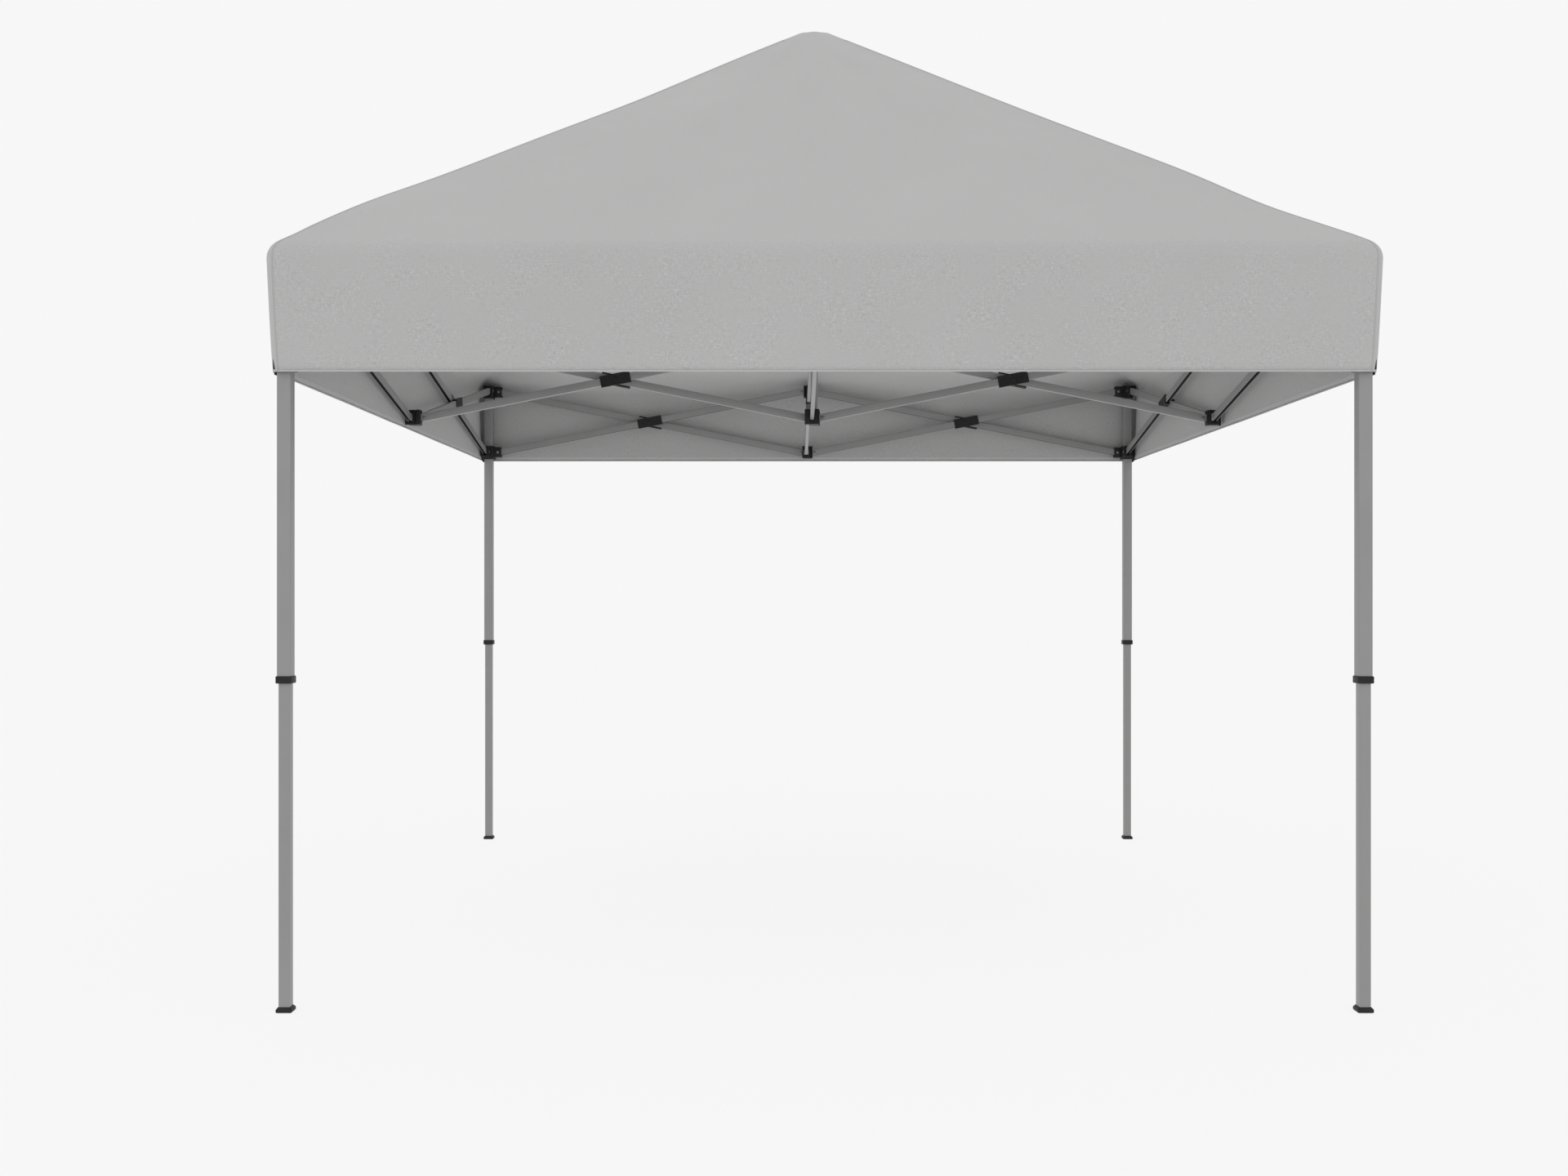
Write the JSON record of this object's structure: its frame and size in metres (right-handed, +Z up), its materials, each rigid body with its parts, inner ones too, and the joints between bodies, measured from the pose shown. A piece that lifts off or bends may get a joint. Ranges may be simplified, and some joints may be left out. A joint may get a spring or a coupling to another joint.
{
  "type": "pop up canopy",
  "caption": "Square folding canopy with a pointed fabric roof and valance on a scissor truss frame and telescopic legs",
  "frame": {"origin": "on the ground below the peak, at the middle of the four feet", "axes": "+Z up, -Y the front, +X to the right seen from the front"},
  "size_m": [3.0232, 3.0232, 3.171],
  "materials": {
    "metal": "satin",
    "plastic": "satin",
    "fabric": "matte"
  },
  "bodies": {
    "roof_hub": {"hub_upper": "plastic", "canopy_cover": "fabric"},
    "centre_front_u_bar": {"centre_front_u": "metal"},
    "centre_front_l_bar": {"centre_front_l": "metal"},
    "mid_lower_front": {"mid_lower_front": "plastic"},
    "mid_upper_front": {"mid_upper_front": "plastic"},
    "centre_right_u_bar": {"centre_right_u": "metal"},
    "centre_right_l_bar": {"centre_right_l": "metal"},
    "mid_lower_right": {"mid_lower_right": "plastic"},
    "mid_upper_right": {"mid_upper_right": "plastic"},
    "centre_back_u_bar": {"centre_back_u": "metal"},
    "centre_back_l_bar": {"centre_back_l": "metal"},
    "mid_lower_back": {"mid_lower_back": "plastic"},
    "mid_upper_back": {"mid_upper_back": "plastic"},
    "centre_left_u_bar": {"centre_left_u": "metal"},
    "centre_left_l_bar": {"centre_left_l": "metal"},
    "mid_lower_left": {"mid_lower_left": "plastic"},
    "mid_upper_left": {"mid_upper_left": "plastic"},
    "lower_hub": {"hub_lower": "plastic", "peak_pole": "metal"},
    "side_front_fl_u_bar": {"side_front_fl_u": "metal"},
    "side_front_fl_l_bar": {"side_front_fl_l": "metal"},
    "leg_fl": {"outer_leg_fl": "metal", "leg_bracket_fl": "plastic"},
    "slider_fl": {"slider_fl": "plastic"},
    "side_front_fr_u_bar": {"side_front_fr_u": "metal"},
    "side_front_fr_l_bar": {"side_front_fr_l": "metal"},
    "leg_fr": {"outer_leg_fr": "metal", "leg_bracket_fr": "plastic"},
    "slider_fr": {"slider_fr": "plastic"},
    "side_back_bl_u_bar": {"side_back_bl_u": "metal"},
    "side_back_bl_l_bar": {"side_back_bl_l": "metal"},
    "leg_bl": {"outer_leg_bl": "metal", "leg_bracket_bl": "plastic"},
    "slider_bl": {"slider_bl": "plastic"},
    "side_back_br_u_bar": {"side_back_br_u": "metal"},
    "side_back_br_l_bar": {"side_back_br_l": "metal"},
    "leg_br": {"outer_leg_br": "metal", "leg_bracket_br": "plastic"},
    "slider_br": {"slider_br": "plastic"},
    "side_left_fl_u_bar": {"side_left_fl_u": "metal"},
    "side_left_fl_l_bar": {"side_left_fl_l": "metal"},
    "side_left_bl_u_bar": {"side_left_bl_u": "metal"},
    "side_left_bl_l_bar": {"side_left_bl_l": "metal"},
    "side_right_fr_u_bar": {"side_right_fr_u": "metal"},
    "side_right_fr_l_bar": {"side_right_fr_l": "metal"},
    "side_right_br_u_bar": {"side_right_br_u": "metal"},
    "side_right_br_l_bar": {"side_right_br_l": "metal"},
    "inner_leg_fl": {"inner_leg_fl": "metal"},
    "leg_button_fl": {"leg_button_fl": "plastic"},
    "slider_button_fl": {"slider_button_fl": "plastic"},
    "inner_leg_fr": {"inner_leg_fr": "metal"},
    "leg_button_fr": {"leg_button_fr": "plastic"},
    "slider_button_fr": {"slider_button_fr": "plastic"},
    "inner_leg_bl": {"inner_leg_bl": "metal"},
    "leg_button_bl": {"leg_button_bl": "plastic"},
    "slider_button_bl": {"slider_button_bl": "plastic"},
    "inner_leg_br": {"inner_leg_br": "metal"},
    "leg_button_br": {"leg_button_br": "plastic"},
    "slider_button_br": {"slider_button_br": "plastic"}
  },
  "joints": [
    {"name": "fold", "type": "hinge", "parent": "roof_hub", "child": "centre_front_u_bar", "pos_m": [0.0085, -0.03, 2.044], "axis": [1, 0, 0], "range_deg": [0, 76], "deforming": ["canopy_cover"]},
    {"name": "cross_front", "type": "hinge", "parent": "centre_front_u_bar", "child": "centre_front_l_bar", "pos_m": [0, -0.723, 1.9055], "axis": [1, 0, 0], "range_deg": [-153, 0.5]},
    {"name": "keep_lower_front", "type": "hinge", "parent": "centre_front_u_bar", "child": "mid_lower_front", "pos_m": [0.0085, -1.416, 1.767], "axis": [1, 0, 0], "range_deg": [-77, 0.5]},
    {"name": "keep_upper_front", "type": "hinge", "parent": "centre_front_l_bar", "child": "mid_upper_front", "pos_m": [-0.0085, -1.416, 2.044], "axis": [1, 0, 0], "range_deg": [-0.5, 77]},
    {"name": "hub_fold_right", "type": "hinge", "parent": "roof_hub", "child": "centre_right_u_bar", "pos_m": [0.03, 0.0085, 2.044], "axis": [0, 1, 0], "range_deg": [-0.5, 77]},
    {"name": "cross_right", "type": "hinge", "parent": "centre_right_u_bar", "child": "centre_right_l_bar", "pos_m": [0.723, 0, 1.9055], "axis": [0, 1, 0], "range_deg": [-153, 0.5]},
    {"name": "keep_lower_right", "type": "hinge", "parent": "centre_right_u_bar", "child": "mid_lower_right", "pos_m": [1.416, 0.0085, 1.767], "axis": [0, 1, 0], "range_deg": [-77, 0.5]},
    {"name": "keep_upper_right", "type": "hinge", "parent": "centre_right_l_bar", "child": "mid_upper_right", "pos_m": [1.416, -0.0085, 2.044], "axis": [0, 1, 0], "range_deg": [-0.5, 77]},
    {"name": "hub_fold_back", "type": "hinge", "parent": "roof_hub", "child": "centre_back_u_bar", "pos_m": [-0.0085, 0.03, 2.044], "axis": [-1, 0, 0], "range_deg": [-0.5, 77]},
    {"name": "cross_back", "type": "hinge", "parent": "centre_back_u_bar", "child": "centre_back_l_bar", "pos_m": [0, 0.723, 1.9055], "axis": [-1, 0, 0], "range_deg": [-153, 0.5]},
    {"name": "keep_lower_back", "type": "hinge", "parent": "centre_back_u_bar", "child": "mid_lower_back", "pos_m": [-0.0085, 1.416, 1.767], "axis": [-1, 0, 0], "range_deg": [-77, 0.5]},
    {"name": "keep_upper_back", "type": "hinge", "parent": "centre_back_l_bar", "child": "mid_upper_back", "pos_m": [0.0085, 1.416, 2.044], "axis": [-1, 0, 0], "range_deg": [-0.5, 77]},
    {"name": "hub_fold_left", "type": "hinge", "parent": "roof_hub", "child": "centre_left_u_bar", "pos_m": [-0.03, -0.0085, 2.044], "axis": [0, -1, 0], "range_deg": [-0.5, 77]},
    {"name": "cross_left", "type": "hinge", "parent": "centre_left_u_bar", "child": "centre_left_l_bar", "pos_m": [-0.723, 0, 1.9055], "axis": [0, -1, 0], "range_deg": [-153, 0.5]},
    {"name": "keep_lower_left", "type": "hinge", "parent": "centre_left_u_bar", "child": "mid_lower_left", "pos_m": [-1.416, -0.0085, 1.767], "axis": [0, -1, 0], "range_deg": [-77, 0.5]},
    {"name": "keep_upper_left", "type": "hinge", "parent": "centre_left_l_bar", "child": "mid_upper_left", "pos_m": [-1.416, 0.0085, 2.044], "axis": [0, -1, 0], "range_deg": [-0.5, 77]},
    {"name": "keep_hub", "type": "hinge", "parent": "centre_front_l_bar", "child": "lower_hub", "pos_m": [-0.0085, -0.03, 1.767], "axis": [1, 0, 0], "range_deg": [-0.5, 77]},
    {"name": "mid_to_slider_bar_fl", "type": "hinge", "parent": "mid_upper_front", "child": "side_front_fl_u_bar", "pos_m": [-0.03, -1.4685, 2.044], "axis": [0, -1, 0], "range_deg": [-0.5, 77]},
    {"name": "slider_keeps_upright_fl", "type": "hinge", "parent": "side_front_fl_u_bar", "child": "slider_fl", "pos_m": [-1.416, -1.4685, 1.767], "axis": [0, -1, 0], "range_deg": [-77, 0.5]},
    {"name": "mid_to_leg_bar_fl", "type": "hinge", "parent": "mid_lower_front", "child": "side_front_fl_l_bar", "pos_m": [-0.03, -1.4515, 1.767], "axis": [0, -1, 0], "range_deg": [-77, 0.5]},
    {"name": "leg_keeps_upright_fl", "type": "hinge", "parent": "side_front_fl_l_bar", "child": "leg_fl", "pos_m": [-1.416, -1.4515, 2.044], "axis": [0, -1, 0], "range_deg": [-0.5, 77]},
    {"name": "mid_to_slider_bar_fr", "type": "hinge", "parent": "mid_upper_front", "child": "side_front_fr_u_bar", "pos_m": [0.03, -1.4515, 2.044], "axis": [0, 1, 0], "range_deg": [-0.5, 77]},
    {"name": "slider_keeps_upright_fr", "type": "hinge", "parent": "side_front_fr_u_bar", "child": "slider_fr", "pos_m": [1.416, -1.4515, 1.767], "axis": [0, 1, 0], "range_deg": [-77, 0.5]},
    {"name": "mid_to_leg_bar_fr", "type": "hinge", "parent": "mid_lower_front", "child": "side_front_fr_l_bar", "pos_m": [0.03, -1.4685, 1.767], "axis": [0, 1, 0], "range_deg": [-77, 0.5]},
    {"name": "leg_keeps_upright_fr", "type": "hinge", "parent": "side_front_fr_l_bar", "child": "leg_fr", "pos_m": [1.416, -1.4685, 2.044], "axis": [0, 1, 0], "range_deg": [-0.5, 77]},
    {"name": "mid_to_slider_bar_bl", "type": "hinge", "parent": "mid_upper_back", "child": "side_back_bl_u_bar", "pos_m": [-0.03, 1.4515, 2.044], "axis": [0, -1, 0], "range_deg": [-0.5, 77]},
    {"name": "slider_keeps_upright_bl", "type": "hinge", "parent": "side_back_bl_u_bar", "child": "slider_bl", "pos_m": [-1.416, 1.4515, 1.767], "axis": [0, -1, 0], "range_deg": [-77, 0.5]},
    {"name": "mid_to_leg_bar_bl", "type": "hinge", "parent": "mid_lower_back", "child": "side_back_bl_l_bar", "pos_m": [-0.03, 1.4685, 1.767], "axis": [0, -1, 0], "range_deg": [-77, 0.5]},
    {"name": "leg_keeps_upright_bl", "type": "hinge", "parent": "side_back_bl_l_bar", "child": "leg_bl", "pos_m": [-1.416, 1.4685, 2.044], "axis": [0, -1, 0], "range_deg": [-0.5, 77]},
    {"name": "mid_to_slider_bar_br", "type": "hinge", "parent": "mid_upper_back", "child": "side_back_br_u_bar", "pos_m": [0.03, 1.4685, 2.044], "axis": [0, 1, 0], "range_deg": [-0.5, 77]},
    {"name": "slider_keeps_upright_br", "type": "hinge", "parent": "side_back_br_u_bar", "child": "slider_br", "pos_m": [1.416, 1.4685, 1.767], "axis": [0, 1, 0], "range_deg": [-77, 0.5]},
    {"name": "mid_to_leg_bar_br", "type": "hinge", "parent": "mid_lower_back", "child": "side_back_br_l_bar", "pos_m": [0.03, 1.4515, 1.767], "axis": [0, 1, 0], "range_deg": [-77, 0.5]},
    {"name": "leg_keeps_upright_br", "type": "hinge", "parent": "side_back_br_l_bar", "child": "leg_br", "pos_m": [1.416, 1.4515, 2.044], "axis": [0, 1, 0], "range_deg": [-0.5, 77]},
    {"name": "mid_to_side_u_left_fl", "type": "hinge", "parent": "mid_upper_left", "child": "side_left_fl_u_bar", "pos_m": [-1.4515, -0.03, 2.044], "axis": [1, 0, 0], "range_deg": [-0.5, 77]},
    {"name": "side_cross_left_fl", "type": "hinge", "parent": "side_left_fl_u_bar", "child": "side_left_fl_l_bar", "pos_m": [-1.46, -0.723, 1.9055], "axis": [1, 0, 0], "range_deg": [-153, 0.5]},
    {"name": "mid_to_side_u_left_bl", "type": "hinge", "parent": "mid_upper_left", "child": "side_left_bl_u_bar", "pos_m": [-1.4685, 0.03, 2.044], "axis": [-1, 0, 0], "range_deg": [-0.5, 77]},
    {"name": "side_cross_left_bl", "type": "hinge", "parent": "side_left_bl_u_bar", "child": "side_left_bl_l_bar", "pos_m": [-1.46, 0.723, 1.9055], "axis": [-1, 0, 0], "range_deg": [-153, 0.5]},
    {"name": "mid_to_side_u_right_fr", "type": "hinge", "parent": "mid_upper_right", "child": "side_right_fr_u_bar", "pos_m": [1.4685, -0.03, 2.044], "axis": [1, 0, 0], "range_deg": [-0.5, 77]},
    {"name": "side_cross_right_fr", "type": "hinge", "parent": "side_right_fr_u_bar", "child": "side_right_fr_l_bar", "pos_m": [1.46, -0.723, 1.9055], "axis": [1, 0, 0], "range_deg": [-153, 0.5]},
    {"name": "mid_to_side_u_right_br", "type": "hinge", "parent": "mid_upper_right", "child": "side_right_br_u_bar", "pos_m": [1.4515, 0.03, 2.044], "axis": [-1, 0, 0], "range_deg": [-0.5, 77]},
    {"name": "side_cross_right_br", "type": "hinge", "parent": "side_right_br_u_bar", "child": "side_right_br_l_bar", "pos_m": [1.46, 0.723, 1.9055], "axis": [-1, 0, 0], "range_deg": [-153, 0.5]},
    {"name": "leg_height_fl", "type": "slide", "parent": "leg_fl", "child": "inner_leg_fl", "axis": [0, 0, 1], "range_m": [0, 0.49]},
    {"name": "leg_button_press_fl", "type": "slide", "parent": "leg_fl", "child": "leg_button_fl", "axis": [1, 0, 0], "range_m": [0, 0.0018], "stiffness_N_per_m": 400, "springref_m": -0.002},
    {"name": "slider_button_press_fl", "type": "slide", "parent": "slider_fl", "child": "slider_button_fl", "axis": [1, 0, 0], "range_m": [0, 0.0028], "stiffness_N_per_m": 400, "springref_m": -0.002},
    {"name": "leg_height_fr", "type": "slide", "parent": "leg_fr", "child": "inner_leg_fr", "axis": [0, 0, 1], "range_m": [0, 0.49]},
    {"name": "leg_button_press_fr", "type": "slide", "parent": "leg_fr", "child": "leg_button_fr", "axis": [-1, 0, 0], "range_m": [0, 0.0018], "stiffness_N_per_m": 400, "springref_m": -0.002},
    {"name": "slider_button_press_fr", "type": "slide", "parent": "slider_fr", "child": "slider_button_fr", "axis": [-1, 0, 0], "range_m": [0, 0.0028], "stiffness_N_per_m": 400, "springref_m": -0.002},
    {"name": "leg_height_bl", "type": "slide", "parent": "leg_bl", "child": "inner_leg_bl", "axis": [0, 0, 1], "range_m": [0, 0.49]},
    {"name": "leg_button_press_bl", "type": "slide", "parent": "leg_bl", "child": "leg_button_bl", "axis": [1, 0, 0], "range_m": [0, 0.0018], "stiffness_N_per_m": 400, "springref_m": -0.002},
    {"name": "slider_button_press_bl", "type": "slide", "parent": "slider_bl", "child": "slider_button_bl", "axis": [1, 0, 0], "range_m": [0, 0.0028], "stiffness_N_per_m": 400, "springref_m": -0.002},
    {"name": "leg_height_br", "type": "slide", "parent": "leg_br", "child": "inner_leg_br", "axis": [0, 0, 1], "range_m": [0, 0.49]},
    {"name": "leg_button_press_br", "type": "slide", "parent": "leg_br", "child": "leg_button_br", "axis": [-1, 0, 0], "range_m": [0, 0.0018], "stiffness_N_per_m": 400, "springref_m": -0.002},
    {"name": "slider_button_press_br", "type": "slide", "parent": "slider_br", "child": "slider_button_br", "axis": [-1, 0, 0], "range_m": [0, 0.0028], "stiffness_N_per_m": 400, "springref_m": -0.002}
  ],
  "couplings": [
    {"joint": "cross_front", "follows": "fold", "ratio": -2},
    {"joint": "keep_lower_front", "follows": "fold", "ratio": -1},
    {"joint": "keep_upper_front", "follows": "fold", "ratio": 1},
    {"joint": "hub_fold_right", "follows": "fold", "ratio": 1},
    {"joint": "cross_right", "follows": "fold", "ratio": -2},
    {"joint": "keep_lower_right", "follows": "fold", "ratio": -1},
    {"joint": "keep_upper_right", "follows": "fold", "ratio": 1},
    {"joint": "hub_fold_back", "follows": "fold", "ratio": 1},
    {"joint": "cross_back", "follows": "fold", "ratio": -2},
    {"joint": "keep_lower_back", "follows": "fold", "ratio": -1},
    {"joint": "keep_upper_back", "follows": "fold", "ratio": 1},
    {"joint": "hub_fold_left", "follows": "fold", "ratio": 1},
    {"joint": "cross_left", "follows": "fold", "ratio": -2},
    {"joint": "keep_lower_left", "follows": "fold", "ratio": -1},
    {"joint": "keep_upper_left", "follows": "fold", "ratio": 1},
    {"joint": "keep_hub", "follows": "fold", "ratio": 1},
    {"joint": "mid_to_slider_bar_fl", "follows": "fold", "ratio": 1},
    {"joint": "slider_keeps_upright_fl", "follows": "fold", "ratio": -1},
    {"joint": "mid_to_leg_bar_fl", "follows": "fold", "ratio": -1},
    {"joint": "leg_keeps_upright_fl", "follows": "fold", "ratio": 1},
    {"joint": "mid_to_slider_bar_fr", "follows": "fold", "ratio": 1},
    {"joint": "slider_keeps_upright_fr", "follows": "fold", "ratio": -1},
    {"joint": "mid_to_leg_bar_fr", "follows": "fold", "ratio": -1},
    {"joint": "leg_keeps_upright_fr", "follows": "fold", "ratio": 1},
    {"joint": "mid_to_slider_bar_bl", "follows": "fold", "ratio": 1},
    {"joint": "slider_keeps_upright_bl", "follows": "fold", "ratio": -1},
    {"joint": "mid_to_leg_bar_bl", "follows": "fold", "ratio": -1},
    {"joint": "leg_keeps_upright_bl", "follows": "fold", "ratio": 1},
    {"joint": "mid_to_slider_bar_br", "follows": "fold", "ratio": 1},
    {"joint": "slider_keeps_upright_br", "follows": "fold", "ratio": -1},
    {"joint": "mid_to_leg_bar_br", "follows": "fold", "ratio": -1},
    {"joint": "leg_keeps_upright_br", "follows": "fold", "ratio": 1},
    {"joint": "mid_to_side_u_left_fl", "follows": "fold", "ratio": 1},
    {"joint": "side_cross_left_fl", "follows": "fold", "ratio": -2},
    {"joint": "mid_to_side_u_left_bl", "follows": "fold", "ratio": 1},
    {"joint": "side_cross_left_bl", "follows": "fold", "ratio": -2},
    {"joint": "mid_to_side_u_right_fr", "follows": "fold", "ratio": 1},
    {"joint": "side_cross_right_fr", "follows": "fold", "ratio": -2},
    {"joint": "mid_to_side_u_right_br", "follows": "fold", "ratio": 1},
    {"joint": "side_cross_right_br", "follows": "fold", "ratio": -2}
  ]
}
